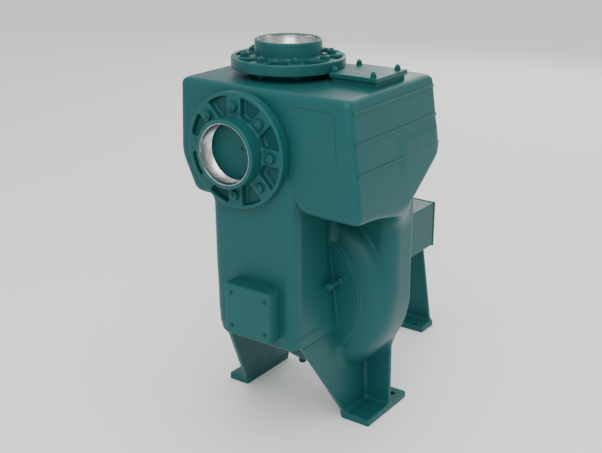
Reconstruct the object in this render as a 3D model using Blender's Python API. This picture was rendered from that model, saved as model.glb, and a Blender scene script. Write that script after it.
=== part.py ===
# A self-priming centrifugal pump: priming tank over a volute, threaded suction and
# discharge flanges, a suction column with a clean-out cover, three legs and a bearing
# housing at the rear.
#
# Lengths are metres.  The pump is drawn with x = 0 on the common axis of both flanges,
# y = 0 on the front face of the priming tank and z = 0 on the floor, and one empty
# moves the whole of it so that its origin lies under the middle of its outer box.
# -Y is the suction side, +Y the drive side.

import math

import bmesh
import bpy

# Where the outer box's middle lies in the drawing
BOX_MIDDLE_X = 0.037097
BOX_MIDDLE_Y = 0.34975

# Clearance left between two pieces that touch on the real pump
GAP = 0.0003
CUT_MARGIN = 0.010
ROUND_STEPS = 48
SMALL_STEPS = 24

# Priming tank: a box that widens down to its belly and closes in again to its floor
TANK_TOP_Z = 0.7555
TANK_BELLY_Z = 0.600
TANK_FLOOR_Z = 0.524
TANK_LEFT_TOP_X = -0.154
TANK_LEFT_BELLY_X = -0.160
TANK_LEFT_FLOOR_X = -0.124
TANK_RIGHT_TOP_X = 0.241
TANK_RIGHT_FLOOR_X = 0.268
TANK_BACK_TOP_Y = 0.314
TANK_BACK_BELLY_Y = 0.322
TANK_BACK_FLOOR_Y = 0.204
TANK_EDGE_RADIUS = 0.013
TANK_EDGE_SEGMENTS = 4

# Three thin ribs along the tank's right side, round to its rear corner
RIB_HEIGHTS = {"upper": 0.733, "middle": 0.6755, "lower": 0.618}
RIB_WIDTH = 0.0055
RIB_DEPTH = 0.0026
RIB_START_Y = 0.006
RIB_BEYOND_Y = 0.360
RIB_INNER_X = 0.234
RIB_BEYOND_X = 0.300

# Suction column, from the tank's front down to the volute's middle
COLUMN_FRONT_Y = -0.0035
COLUMN_BACK_Y = 0.1897
COLUMN_BOTTOM_Z = 0.236
COLUMN_LEFT_X = -0.076
COLUMN_LEFT_FOOT_X = -0.072
COLUMN_RIGHT_X = 0.119
COLUMN_RIGHT_FOOT_X = 0.123
COLUMN_HEEL_WIDTH = 0.008
COLUMN_HEEL_HEIGHT = 0.030
COLUMN_EDGE_RADIUS = 0.020
COLUMN_NECK_Z = 0.545
PAD_RADIUS = 0.108
PAD_BACK_Y = 0.020
PAD_MEETS_COLUMN_AT = math.radians(24)

# Clean-out cover on the column's front
CLEAN_OUT_X = (-0.018, 0.091)
CLEAN_OUT_Z = (0.257, 0.366)
CLEAN_OUT_FRONT_Y = -0.043
CLEAN_OUT_EDGE = 0.003

# Both flanges share one pattern: rim, raised threaded hub and eight pockets between spokes
FLANGE_RADIUS = 0.1143
FLANGE_RIM = 0.022
FLANGE_HUB_RADIUS = 0.0675
FLANGE_HUB_HEIGHT = 0.0547
FLANGE_EDGE = 0.0015
FLANGE_BORE = 0.060
FLANGE_THROAT = 0.054
FLANGE_SHOULDER = 0.0092
POCKET_COUNT = 8
POCKET_INNER_RADIUS = 0.069
POCKET_OUTER_RADIUS = 0.106
POCKET_DEPTH = 0.015
SPOKE_WIDTH = 0.033
THREAD_OUTER = FLANGE_BORE - GAP
THREAD_INNER = 0.0565
THREAD_MOUTH_INSET = 0.0006
THREAD_LEAD_IN = (0.001, 0.002)

SUCTION_Z = 0.634
SUCTION_BACK_Y = COLUMN_FRONT_Y - GAP
FLAP_RADIUS = 0.0592
FLAP_THICKNESS = 0.006
FLAP_EDGE = 0.001

DISCHARGE_Y = 0.152
DISCHARGE_RIM_Z = 0.7695
DISCHARGE_WELL_Z = 0.660
NECK_RADIUS_TOP = 0.072
NECK_RADIUS_BASE = 0.076

# Fill cover on the tank's top
COVER_X = (0.1175, 0.224)
COVER_Y = (0.121, 0.236)
COVER_BOSS_TOP_Z = 0.7647
COVER_PLATE_TOP_Z = 0.7745
COVER_OVERHANG = 0.004
COVER_EDGE = 0.002

# Volute: a round case whose lower half swells towards its back, and the nozzle that
# rises from its right side to the tank's floor
CASE_X = 0.032
CASE_Z = 0.296
CASE_RADIUS = 0.197
CASE_FRONT_Y = 0.157
CASE_BACK_Y = 0.278
CASE_SHOULDER = 0.056
CASE_HEEL = 0.010
CASE_SWELL = 0.045
CASE_SWELL_START = 0.033
CASE_SWELL_RUN = 0.040
CASE_STEPS = 64
NOZZLE_LEFT_X = -0.060
NOZZLE_RIGHT_X = CASE_X + CASE_RADIUS
NOZZLE_FRONT_Y = 0.190
NOZZLE_TOP_Z = 0.590
NOZZLE_FRONT_EDGE = 0.026
NOZZLE_BACK_EDGE = 0.010
DISC_Z = 0.295
DISC_RADIUS = 0.145
DISC_FRONT_Y = 0.150
DISC_EDGE = 0.002

# Small fittings on the casing
COCK_X = 0.130
COCK_Z = 0.339
COCK_ROD_RADIUS = 0.0056
COCK_HEAD_RADIUS = 0.0076
COCK_HEAD_Y = 0.114
COCK_TIP_Y = 0.103
DRAIN_X = 0.008
DRAIN_Y = 0.190
DRAIN_RADIUS = 0.009
DRAIN_BOTTOM_Z = 0.0975
DRAIN_TOP_Z = 0.125

# Front legs: a leaning side web on a foot, with a gusset on its outer side
WEB_THICKNESS = 0.010
WEB_TOP_Z = COLUMN_BOTTOM_Z - GAP
WEB_TOP_FRONT_Y = 0.022
WEB_REAR_TOP_Y = 0.331
WEB_REAR_TOP_Z = 0.112
WEB_REAR_RISE = 0.006
WEB_BEHIND_CASE = 0.030
RIGHT_WEB_TOP_X = 0.122
RIGHT_WEB_FOOT_X = 0.131
LEFT_WEB_TOP_X = -0.076
LEFT_WEB_FOOT_X = -0.149
FOOT_Y = (0.176, 0.338)
FOOT_HEIGHT = 0.016
FOOT_OUTER_X = 0.1923
FOOT_EDGE = 0.002
GUSSET_Y = (0.261, 0.270)
GUSSET_RIGHT_TOP_X = 0.190
GUSSET_LEFT_TOP_X = -0.152
GUSSET_TOP_Z = 0.232
FOOT_HOLE_RADIUS = 0.007
FOOT_HOLE_Y = 0.310
FOOT_HOLE_FROM_EDGE = 0.022

# Bearing housing behind the volute, carried at its end by the rear leg
HOUSING_X = (-0.029, 0.049)
HOUSING_Z = (0.223, 0.338)
HOUSING_END_Y = 0.7105
HOUSING_EDGE = 0.002
END_PLATE_MARGIN = 0.0012
END_PLATE_BACK_Y = 0.7148
CAP_RADIUS = 0.034
CAP_THICKNESS = 0.008
CAP_BORE = 0.0165
CAP_EDGE = 0.002
SHAFT_RADIUS = 0.014
SHAFT_END_Y = 0.758
SHAFT_EDGE = 0.0015
REAR_MIDDLE_X = 0.010
REAR_LEG_Y = (0.700, 0.710)
REAR_LEG_TOP_HALF = 0.014
REAR_LEG_FOOT_HALF = 0.045
REAR_FOOT_HALF = 0.051
REAR_FOOT_Y = (0.652, 0.710)
REAR_FOOT_HEIGHT = 0.014
REAR_HOLE_OFFSET = 0.022
REAR_HOLE_Y = 0.665
REAR_HOLE_RADIUS = 0.006

GREEN = (0.030, 0.118, 0.115)
DARK_GREEN = (0.020, 0.085, 0.083)
BARE_STEEL = (0.56, 0.57, 0.57)


def clear_objects():
    for old in list(bpy.data.objects):
        bpy.data.objects.remove(old, do_unlink=True)


def add_origin():
    origin = bpy.data.objects.new("pump_origin", None)
    origin.location = (-BOX_MIDDLE_X, -BOX_MIDDLE_Y, 0.0)
    bpy.context.scene.collection.objects.link(origin)
    return origin


def add_finish(name, colour, metallic, roughness):
    finish = bpy.data.materials.new(name + "_finish")
    finish.use_nodes = True
    shader = finish.node_tree.nodes["Principled BSDF"]
    shader.inputs["Base Color"].default_value = (*colour, 1.0)
    shader.inputs["Metallic"].default_value = metallic
    shader.inputs["Roughness"].default_value = roughness
    return finish


def place(name, shape, colour=GREEN, metallic=0.0, roughness=0.45, smooth=False):
    bmesh.ops.recalc_face_normals(shape, faces=shape.faces)
    mesh = bpy.data.meshes.new(name)
    shape.to_mesh(mesh)
    shape.free()
    if smooth:
        mesh.shade_smooth()
        mesh.set_sharp_from_angle(angle=math.radians(30))
    mesh.materials.append(add_finish(name, colour, metallic, roughness))
    piece = bpy.data.objects.new(name, mesh)
    piece.parent = pump_origin
    bpy.context.scene.collection.objects.link(piece)
    return piece


def place_guide(name, shape):
    guide = place(name, shape)
    guide.hide_render = True
    guide.display_type = "WIRE"
    return guide


def combine(piece, other, operation):
    step = piece.modifiers.new(operation.lower() + "_" + other.name, "BOOLEAN")
    step.operation = operation
    step.solver = "EXACT"
    step.object = other


def cut(piece, *cutters):
    for cutter in cutters:
        combine(piece, cutter, "DIFFERENCE")


def round_by_angle(piece, width, segments, degrees):
    step = piece.modifiers.new("rounded_edges", "BEVEL")
    step.width = width
    step.segments = segments
    step.limit_method = "ANGLE"
    step.angle_limit = math.radians(degrees)


def arc(middle, radius, start, end, steps):
    points = []
    for step in range(steps + 1):
        angle = math.radians(start + (end - start) * step / steps)
        points.append((middle[0] + radius * math.cos(angle), middle[1] + radius * math.sin(angle)))
    return points


def prism(outline, axis, low, high):
    # The outline's two coordinates are the ones left over, in X, Y, Z order
    place_at = {
        "X": lambda a, b: (low, a, b),
        "Y": lambda a, b: (a, low, b),
        "Z": lambda a, b: (a, b, low),
    }[axis]
    shape = bmesh.new()
    corners = [shape.verts.new(place_at(a, b)) for a, b in outline]
    base = shape.faces.new(corners)
    moved = bmesh.ops.extrude_face_region(shape, geom=[base])
    tops = [item for item in moved["geom"] if isinstance(item, bmesh.types.BMVert)]
    travel = [0.0, 0.0, 0.0]
    travel["XYZ".index(axis)] = high - low
    bmesh.ops.translate(shape, verts=tops, vec=travel)
    return shape


def block(x_range, y_range, z_range):
    outline = [(x_range[0], y_range[0]), (x_range[1], y_range[0])]
    outline += [(x_range[1], y_range[1]), (x_range[0], y_range[1])]
    return prism(outline, "Z", z_range[0], z_range[1])


def turned(profile, middle, axis, steps=ROUND_STEPS, ring=False):
    # The profile holds (radius, distance along the axis) from the middle point
    shape = bmesh.new()
    along = "XYZ".index(axis)
    side = "XYZ".index("X" if axis != "X" else "Y")
    points = []
    for radius, distance in profile:
        spot = list(middle)
        spot[side] += radius
        spot[along] += distance
        points.append(shape.verts.new(spot))
    edges = [shape.edges.new(pair) for pair in zip(points, points[1:])]
    if ring:
        edges.append(shape.edges.new((points[-1], points[0])))
    direction = [0.0, 0.0, 0.0]
    direction[along] = 1.0
    bmesh.ops.spin(
        shape,
        geom=points + edges,
        cent=middle,
        axis=direction,
        angle=math.tau,
        steps=steps,
        use_merge=True,
    )
    bmesh.ops.remove_doubles(shape, verts=shape.verts, dist=1e-6)
    return shape


def rod(middle, axis, radius, low, high, steps=SMALL_STEPS, edge=0.0):
    # A round bar between two places on its axis, with its ends' edges broken when asked
    profile = [(0.0, low), (radius - edge, low)]
    if edge:
        profile += [(radius, low + edge), (radius, high - edge)]
    else:
        profile += [(radius, low)]
    profile += [(radius - edge, high), (0.0, high)]
    return turned(profile, middle, axis, steps)


def mix(start, end, share):
    return start + (end - start) * share


def tank_right_x(height):
    share = (TANK_TOP_Z - height) / (TANK_TOP_Z - TANK_FLOOR_Z)
    return mix(TANK_RIGHT_TOP_X, TANK_RIGHT_FLOOR_X, share)


def tank_shape(grow=0.0):
    levels = [
        (TANK_TOP_Z + grow, TANK_LEFT_TOP_X, tank_right_x(TANK_TOP_Z), TANK_BACK_TOP_Y),
        (TANK_BELLY_Z, TANK_LEFT_BELLY_X, tank_right_x(TANK_BELLY_Z), TANK_BACK_BELLY_Y),
        (TANK_FLOOR_Z - grow, TANK_LEFT_FLOOR_X, tank_right_x(TANK_FLOOR_Z), TANK_BACK_FLOOR_Y),
    ]
    shape = bmesh.new()
    for height, left, right, back in levels:
        for x in (left - grow, right + grow):
            for y in (-grow, back + grow):
                shape.verts.new((x, y, height))
    bmesh.ops.convex_hull(shape, input=shape.verts)
    flat = math.radians(0.5)
    bmesh.ops.dissolve_limit(shape, angle_limit=flat, verts=shape.verts, edges=shape.edges)
    return shape


def tank_guide(name, grow):
    guide = place_guide(name, tank_shape(grow))
    round_by_angle(guide, TANK_EDGE_RADIUS + grow, TANK_EDGE_SEGMENTS, 15)
    return guide


def add_tank():
    tank = place("priming_tank", tank_shape())
    round_by_angle(tank, TANK_EDGE_RADIUS, TANK_EDGE_SEGMENTS, 15)
    well_middle = (0.0, DISCHARGE_Y, 0.0)
    well = rod(well_middle, "Z", FLANGE_THROAT, DISCHARGE_WELL_Z, TANK_TOP_Z + CUT_MARGIN, ROUND_STEPS)
    cut(tank, place_guide("discharge_well", well))


def add_ribs(tank_clearance):
    outer = tank_guide("rib_envelope", RIB_DEPTH + GAP)
    for label, height in RIB_HEIGHTS.items():
        band = (height - RIB_WIDTH / 2, height + RIB_WIDTH / 2)
        bar = block((RIB_INNER_X, RIB_BEYOND_X), (RIB_START_Y, RIB_BEYOND_Y), band)
        rib = place("tank_rib_" + label, bar)
        combine(rib, outer, "INTERSECT")
        cut(rib, tank_clearance)


def flange_shape(middle, axis, outward, rim_back):
    # The common flange: rim, hub and stepped bore, from its back face outwards
    rim_front = rim_back + outward * FLANGE_RIM
    hub_front = rim_back + outward * FLANGE_HUB_HEIGHT
    shoulder = rim_back + outward * FLANGE_SHOULDER
    edge = outward * FLANGE_EDGE
    profile = [
        (FLANGE_THROAT, rim_back),
        (FLANGE_RADIUS - FLANGE_EDGE, rim_back),
        (FLANGE_RADIUS, rim_back + edge),
        (FLANGE_RADIUS, rim_front - edge),
        (FLANGE_RADIUS - FLANGE_EDGE, rim_front),
        (FLANGE_HUB_RADIUS, rim_front),
        (FLANGE_HUB_RADIUS, hub_front - edge),
        (FLANGE_HUB_RADIUS - FLANGE_EDGE, hub_front),
        (FLANGE_BORE, hub_front),
        (FLANGE_BORE, shoulder),
        (FLANGE_THROAT, shoulder),
    ]
    return turned(profile, middle, axis, ring=True)


def pocket_outline(middle, index):
    # A pocket lies between two spokes with parallel sides, so it narrows less than a sector
    centre = 360.0 * (index + 0.5) / POCKET_COUNT
    half = 180.0 / POCKET_COUNT
    outer_half = half - math.degrees(math.asin(SPOKE_WIDTH / 2 / POCKET_OUTER_RADIUS))
    inner_half = half - math.degrees(math.asin(SPOKE_WIDTH / 2 / POCKET_INNER_RADIUS))
    outer = arc(middle, POCKET_OUTER_RADIUS, centre - outer_half, centre + outer_half, 5)
    inner = arc(middle, POCKET_INNER_RADIUS, centre + inner_half, centre - inner_half, 3)
    return outer + inner


def add_flange(name, middle, axis, outward, rim_back):
    flange = place(name, flange_shape(middle, axis, outward, rim_back), smooth=True)
    rim_front = rim_back + outward * FLANGE_RIM
    floor = rim_front - outward * POCKET_DEPTH
    above = rim_front + outward * CUT_MARGIN
    flat_middle = [value for value, letter in zip(middle, "XYZ") if letter != axis]
    for index in range(POCKET_COUNT):
        outline = pocket_outline(flat_middle, index)
        pocket = prism(outline, axis, min(floor, above), max(floor, above))
        cut(flange, place_guide(name + "_pocket_" + str(index + 1), pocket))


def add_thread_ring(name, middle, axis, outward, rim_back, start):
    mouth = rim_back + outward * (FLANGE_HUB_HEIGHT - THREAD_MOUTH_INSET)
    inner_end = rim_back + outward * start
    widening, depth = THREAD_LEAD_IN
    profile = [
        (THREAD_INNER, inner_end),
        (THREAD_OUTER, inner_end),
        (THREAD_OUTER, mouth),
        (THREAD_INNER + widening, mouth),
        (THREAD_INNER, mouth - outward * depth),
    ]
    shape = turned(profile, middle, axis, ring=True)
    place(name, shape, BARE_STEEL, 0.9, 0.3, smooth=True)


def add_suction_flange():
    middle = (0.0, 0.0, SUCTION_Z)
    add_flange("suction_flange", middle, "Y", -1, SUCTION_BACK_Y)
    seat = SUCTION_BACK_Y - FLANGE_SHOULDER - GAP
    flap = rod(middle, "Y", FLAP_RADIUS, seat - FLAP_THICKNESS, seat, ROUND_STEPS, FLAP_EDGE)
    place("check_valve_flap", flap, smooth=True)
    thread_start = FLANGE_SHOULDER + FLAP_THICKNESS + 2 * GAP
    add_thread_ring("suction_thread_ring", middle, "Y", -1, SUCTION_BACK_Y, thread_start)


def add_discharge_flange():
    middle = (0.0, DISCHARGE_Y, 0.0)
    add_flange("discharge_flange", middle, "Z", 1, DISCHARGE_RIM_Z)
    thread_start = FLANGE_SHOULDER + GAP
    add_thread_ring("discharge_thread_ring", middle, "Z", 1, DISCHARGE_RIM_Z, thread_start)
    neck_profile = [
        (FLANGE_THROAT, TANK_TOP_Z + GAP),
        (NECK_RADIUS_BASE, TANK_TOP_Z + GAP),
        (NECK_RADIUS_TOP, DISCHARGE_RIM_Z - GAP),
        (FLANGE_THROAT, DISCHARGE_RIM_Z - GAP),
    ]
    place("discharge_neck", turned(neck_profile, middle, "Z", ring=True), smooth=True)


def add_fill_cover():
    boss_x = (COVER_X[0] + COVER_OVERHANG, COVER_X[1] - COVER_OVERHANG)
    boss_y = (COVER_Y[0] + COVER_OVERHANG, COVER_Y[1] - COVER_OVERHANG)
    place("fill_port_boss", block(boss_x, boss_y, (TANK_TOP_Z + GAP, COVER_BOSS_TOP_Z)))
    plate = block(COVER_X, COVER_Y, (COVER_BOSS_TOP_Z + GAP, COVER_PLATE_TOP_Z))
    cover = place("fill_port_cover", plate)
    round_by_angle(cover, COVER_EDGE, 2, 60)


def case_profile(grow):
    # From the middle of the front, over a wide shoulder and a small heel, to the back
    reach = CASE_RADIUS + grow
    front = -grow
    back = CASE_BACK_Y - CASE_FRONT_Y + grow
    shoulder = CASE_SHOULDER + grow
    heel = CASE_HEEL + grow
    over_shoulder = arc((reach - shoulder, front + shoulder), shoulder, -90, 0, 7)
    over_heel = arc((reach - heel, back - heel), heel, 0, 90, 3)
    return [(0.0, front)] + over_shoulder + over_heel + [(0.0, back)]


def case_shape(grow=0.0):
    shape = turned(case_profile(grow), (CASE_X, CASE_FRONT_Y, CASE_Z), "Y", CASE_STEPS)
    for corner in shape.verts:
        depth = (corner.co.y - CASE_FRONT_Y - CASE_SWELL_START) / CASE_SWELL_RUN
        swell = CASE_SWELL * min(max(depth, 0.0), 1.0)
        if corner.co.z < CASE_Z:
            corner.co.z += (corner.co.z - CASE_Z) * swell
    return shape


def nozzle_shape():
    front, back = NOZZLE_FRONT_Y, CASE_BACK_Y
    wide, tight = NOZZLE_FRONT_EDGE, NOZZLE_BACK_EDGE
    outline = arc((NOZZLE_LEFT_X + wide, front + wide), wide, 180, 270, 4)
    outline += arc((NOZZLE_RIGHT_X - wide, front + wide), wide, 270, 360, 4)
    outline += arc((NOZZLE_RIGHT_X - tight, back - tight), tight, 0, 90, 3)
    outline += arc((NOZZLE_LEFT_X + tight, back - tight), tight, 90, 180, 3)
    return prism(outline, "Z", CASE_Z, NOZZLE_TOP_Z)


def disc_shape(grow=0.0):
    middle = (CASE_X, 0.0, DISC_Z)
    back = CASE_FRONT_Y - GAP + grow
    return rod(middle, "Y", DISC_RADIUS + grow, DISC_FRONT_Y - grow, back, CASE_STEPS, DISC_EDGE)


def add_volute(tank_clearance):
    case = place("volute_case", case_shape(), smooth=True)
    combine(case, place_guide("nozzle_block", nozzle_shape()), "UNION")
    cut(case, tank_clearance)
    place("volute_front_disc", disc_shape(), smooth=True)


def column_outline():
    pad_x = PAD_RADIUS * math.cos(PAD_MEETS_COLUMN_AT)
    return [
        (COLUMN_LEFT_FOOT_X + COLUMN_HEEL_WIDTH, COLUMN_BOTTOM_Z),
        (COLUMN_RIGHT_FOOT_X, COLUMN_BOTTOM_Z),
        (COLUMN_RIGHT_X, COLUMN_NECK_Z),
        (pad_x, SUCTION_Z - PAD_RADIUS * math.sin(PAD_MEETS_COLUMN_AT)),
        (pad_x, SUCTION_Z),
        (COLUMN_LEFT_X, SUCTION_Z),
        (COLUMN_LEFT_FOOT_X, COLUMN_BOTTOM_Z + COLUMN_HEEL_HEIGHT),
    ]


def add_column(cutters):
    shape = prism(column_outline(), "Y", COLUMN_FRONT_Y, COLUMN_BACK_Y)
    front = []
    for edge in shape.edges:
        at_front = all(abs(end.co.y - COLUMN_FRONT_Y) < 1e-5 for end in edge.verts)
        low_end = min(end.co.z for end in edge.verts)
        high_end = max(end.co.z for end in edge.verts)
        if at_front and low_end < TANK_FLOOR_Z and high_end > COLUMN_BOTTOM_Z + 0.001:
            front.append(edge)
    bmesh.ops.bevel(shape, geom=front, offset=COLUMN_EDGE_RADIUS, segments=4, profile=0.5, affect="EDGES")
    column = place("suction_column", shape)
    pad = rod((0.0, 0.0, SUCTION_Z), "Y", PAD_RADIUS, COLUMN_FRONT_Y, PAD_BACK_Y, ROUND_STEPS)
    combine(column, place_guide("suction_pad", pad), "UNION")
    cut(column, *cutters)


def add_clean_out():
    y_range = (CLEAN_OUT_FRONT_Y, COLUMN_FRONT_Y - GAP)
    cover = place("clean_out_cover", block(CLEAN_OUT_X, y_range, CLEAN_OUT_Z))
    round_by_angle(cover, CLEAN_OUT_EDGE, 2, 60)


def add_casing_fittings(case_cutters):
    cock_profile = [
        (0.0, COCK_TIP_Y),
        (COCK_HEAD_RADIUS, COCK_TIP_Y),
        (COCK_HEAD_RADIUS, COCK_HEAD_Y),
        (COCK_ROD_RADIUS, COCK_HEAD_Y + 0.001),
        (COCK_ROD_RADIUS, DISC_FRONT_Y - GAP),
        (0.0, DISC_FRONT_Y - GAP),
    ]
    cock = turned(cock_profile, (COCK_X, 0.0, COCK_Z), "Y", SMALL_STEPS)
    place("casing_vent_plug", cock, DARK_GREEN, 0.0, 0.45, smooth=True)
    plug = rod((DRAIN_X, DRAIN_Y, 0.0), "Z", DRAIN_RADIUS, DRAIN_BOTTOM_Z, DRAIN_TOP_Z)
    drain = place("casing_drain_plug", plug, DARK_GREEN, 0.0, 0.45, smooth=True)
    cut(drain, *case_cutters)


def web_outer_x(top_x, foot_x, height):
    return mix(top_x, foot_x, (WEB_TOP_Z - height) / (WEB_TOP_Z - FOOT_HEIGHT))


def web_shape(side, top_x, foot_x):
    outline = [
        (FOOT_Y[0], FOOT_HEIGHT + GAP),
        (FOOT_Y[1], FOOT_HEIGHT + GAP),
        (WEB_REAR_TOP_Y, WEB_REAR_TOP_Z),
        (CASE_BACK_Y, WEB_REAR_TOP_Z + WEB_REAR_RISE),
        (CASE_BACK_Y - WEB_BEHIND_CASE, WEB_TOP_Z),
        (WEB_TOP_FRONT_Y, WEB_TOP_Z),
    ]
    shape = prism(outline, "X", 0.0, WEB_THICKNESS)
    for corner in shape.verts:
        inward = WEB_THICKNESS - corner.co.x
        corner.co.x = web_outer_x(top_x, foot_x, corner.co.z) - side * inward
    return shape


def add_foot(name, x_range, hole_x):
    foot = place(name, block(x_range, FOOT_Y, (0.0, FOOT_HEIGHT)))
    round_by_angle(foot, FOOT_EDGE, 2, 60)
    hole_middle = (hole_x, FOOT_HOLE_Y, 0.0)
    hole = rod(hole_middle, "Z", FOOT_HOLE_RADIUS, -CUT_MARGIN, FOOT_HEIGHT + CUT_MARGIN)
    cut(foot, place_guide(name + "_hole", hole))


def add_gusset(name, outline, case_cutters):
    gusset = place(name, prism(outline, "Y", GUSSET_Y[0], GUSSET_Y[1]))
    cut(gusset, *case_cutters)


def add_front_leg(label, side, top_x, foot_x, gusset_top_x, case_cutters):
    web = place("web_" + label, web_shape(side, top_x, foot_x))
    cut(web, *case_cutters)
    base = FOOT_HEIGHT + GAP
    clear = side * GAP
    outline = [
        (web_outer_x(top_x, foot_x, base) + clear, base),
        (side * FOOT_OUTER_X, base),
        (gusset_top_x, GUSSET_TOP_Z),
        (web_outer_x(top_x, foot_x, GUSSET_TOP_Z) + clear, GUSSET_TOP_Z),
    ]
    add_gusset("gusset_" + label, outline, case_cutters)
    inner_x = foot_x - side * WEB_THICKNESS
    x_range = tuple(sorted((inner_x, side * FOOT_OUTER_X)))
    add_foot("foot_" + label, x_range, side * (FOOT_OUTER_X - FOOT_HOLE_FROM_EDGE))


def add_bearing_housing():
    y_range = (CASE_BACK_Y + GAP, HOUSING_END_Y)
    housing = place("bearing_housing", block(HOUSING_X, y_range, HOUSING_Z))
    round_by_angle(housing, HOUSING_EDGE, 2, 60)
    plate_x = (HOUSING_X[0] - END_PLATE_MARGIN, HOUSING_X[1] + END_PLATE_MARGIN)
    plate_z = (HOUSING_Z[0] - END_PLATE_MARGIN, HOUSING_Z[1] + END_PLATE_MARGIN)
    plate_y = (HOUSING_END_Y + GAP, END_PLATE_BACK_Y)
    place("bearing_end_plate", block(plate_x, plate_y, plate_z))


def add_shaft_end():
    middle = (sum(HOUSING_X) / 2, 0.0, sum(HOUSING_Z) / 2)
    low = END_PLATE_BACK_Y + GAP
    high = low + CAP_THICKNESS
    profile = [
        (CAP_BORE, low),
        (CAP_RADIUS, low),
        (CAP_RADIUS, high - CAP_EDGE),
        (CAP_RADIUS - CAP_EDGE, high),
        (CAP_BORE, high),
    ]
    place("bearing_cap", turned(profile, middle, "Y", ring=True), smooth=True)
    shaft = rod(middle, "Y", SHAFT_RADIUS, low, SHAFT_END_Y, SMALL_STEPS, SHAFT_EDGE)
    place("drive_shaft_end", shaft, BARE_STEEL, 0.9, 0.35, smooth=True)


def add_rear_leg():
    top = HOUSING_Z[0] - GAP
    base = REAR_FOOT_HEIGHT + GAP
    outline = [
        (REAR_MIDDLE_X - REAR_LEG_FOOT_HALF, base),
        (REAR_MIDDLE_X + REAR_LEG_FOOT_HALF, base),
        (REAR_MIDDLE_X + REAR_LEG_TOP_HALF, top),
        (REAR_MIDDLE_X - REAR_LEG_TOP_HALF, top),
    ]
    place("rear_leg", prism(outline, "Y", REAR_LEG_Y[0], REAR_LEG_Y[1]), DARK_GREEN)
    x_range = (REAR_MIDDLE_X - REAR_FOOT_HALF, REAR_MIDDLE_X + REAR_FOOT_HALF)
    foot = place("rear_foot", block(x_range, REAR_FOOT_Y, (0.0, REAR_FOOT_HEIGHT)), DARK_GREEN)
    for number, offset in enumerate((-REAR_HOLE_OFFSET, REAR_HOLE_OFFSET)):
        middle = (REAR_MIDDLE_X + offset, REAR_HOLE_Y, 0.0)
        hole = rod(middle, "Z", REAR_HOLE_RADIUS, -CUT_MARGIN, REAR_FOOT_HEIGHT + CUT_MARGIN)
        cut(foot, place_guide("rear_foot_hole_" + str(number + 1), hole))


clear_objects()
pump_origin = add_origin()

tank_clearance = tank_guide("tank_clearance", GAP)
case_cutters = [
    place_guide("case_clearance", case_shape(GAP)),
    place_guide("disc_clearance", disc_shape(GAP)),
]

add_tank()
add_ribs(tank_clearance)
add_suction_flange()
add_discharge_flange()
add_fill_cover()
add_volute(tank_clearance)
add_column([tank_clearance] + case_cutters)
add_clean_out()
add_casing_fittings(case_cutters)
add_front_leg("right", 1, RIGHT_WEB_TOP_X, RIGHT_WEB_FOOT_X, GUSSET_RIGHT_TOP_X, case_cutters)
add_front_leg("left", -1, LEFT_WEB_TOP_X, LEFT_WEB_FOOT_X, GUSSET_LEFT_TOP_X, case_cutters)
add_bearing_housing()
add_shaft_end()
add_rear_leg()
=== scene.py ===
import math

import bmesh
import bpy
import numpy as np
from mathutils import Matrix, Vector


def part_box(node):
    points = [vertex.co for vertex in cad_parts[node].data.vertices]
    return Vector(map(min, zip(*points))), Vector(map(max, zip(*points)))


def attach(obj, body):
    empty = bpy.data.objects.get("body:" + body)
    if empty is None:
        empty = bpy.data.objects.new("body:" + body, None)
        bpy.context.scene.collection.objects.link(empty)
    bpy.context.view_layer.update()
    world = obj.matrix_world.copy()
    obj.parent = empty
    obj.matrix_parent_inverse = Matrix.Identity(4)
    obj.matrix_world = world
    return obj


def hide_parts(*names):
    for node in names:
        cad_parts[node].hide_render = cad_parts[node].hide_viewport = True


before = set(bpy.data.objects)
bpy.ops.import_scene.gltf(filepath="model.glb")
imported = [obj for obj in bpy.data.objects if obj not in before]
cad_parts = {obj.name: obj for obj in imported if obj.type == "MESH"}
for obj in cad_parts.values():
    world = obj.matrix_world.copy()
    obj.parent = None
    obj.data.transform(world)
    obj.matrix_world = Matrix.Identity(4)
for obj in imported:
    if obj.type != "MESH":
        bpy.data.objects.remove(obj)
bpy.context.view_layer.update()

# The pump is drawn in millimetres from the flanges' axis, the tank's front face and the floor
flangeLow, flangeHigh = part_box("suction_flange")
axisX = (flangeLow.x + flangeHigh.x) / 2
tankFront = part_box("priming_tank")[0].y
mm = 0.001


def toScene(points):
    placed = np.array(points, dtype=np.float64) * mm
    placed[:, 0] += axisX
    placed[:, 1] += tankFront
    return placed


# Distance fields: negative inside the metal, so fillets and rounded edges are blends of fields

def softMin(a, b, k):        # union with a fillet
    h = np.maximum(k - np.abs(a - b), 0.0)
    return np.minimum(a, b) - h * h / (4.0 * k)


def softMax(a, b, k):        # intersection with a rounded edge
    h = np.maximum(k - np.abs(a - b), 0.0)
    return np.maximum(a, b) + h * h / (4.0 * k)


def softMaxAll(fields, k):
    result = fields[0]
    for field in fields[1:]:
        result = softMax(result, field, k)
    return result


def side(u, v, start, end):  # outside lies on the right of the way from start to end
    du, dv = end[0] - start[0], end[1] - start[1]
    return ((u - start[0]) * dv - (v - start[1]) * du) / math.hypot(du, dv)


def ramp(value, low, high):
    t = np.clip((value - low) / (high - low), 0.0, 1.0)
    return t * t * (3.0 - 2.0 * t)


def radial(u, v):
    return np.sqrt(u * u + v * v)


def sampleField(field, low, high, cell):
    axes = [np.arange(a, b + cell, cell, dtype=np.float32) for a, b in zip(low, high)]
    shape = tuple(len(axis) for axis in axes)
    values = np.empty(shape, np.float32)
    slab = 24
    for first in range(0, shape[0], slab):
        part = axes[0][first:first + slab, None, None]
        values[first:first + slab] = field(part, axes[1][None, :, None], axes[2][None, None, :])
    return axes, values


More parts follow.
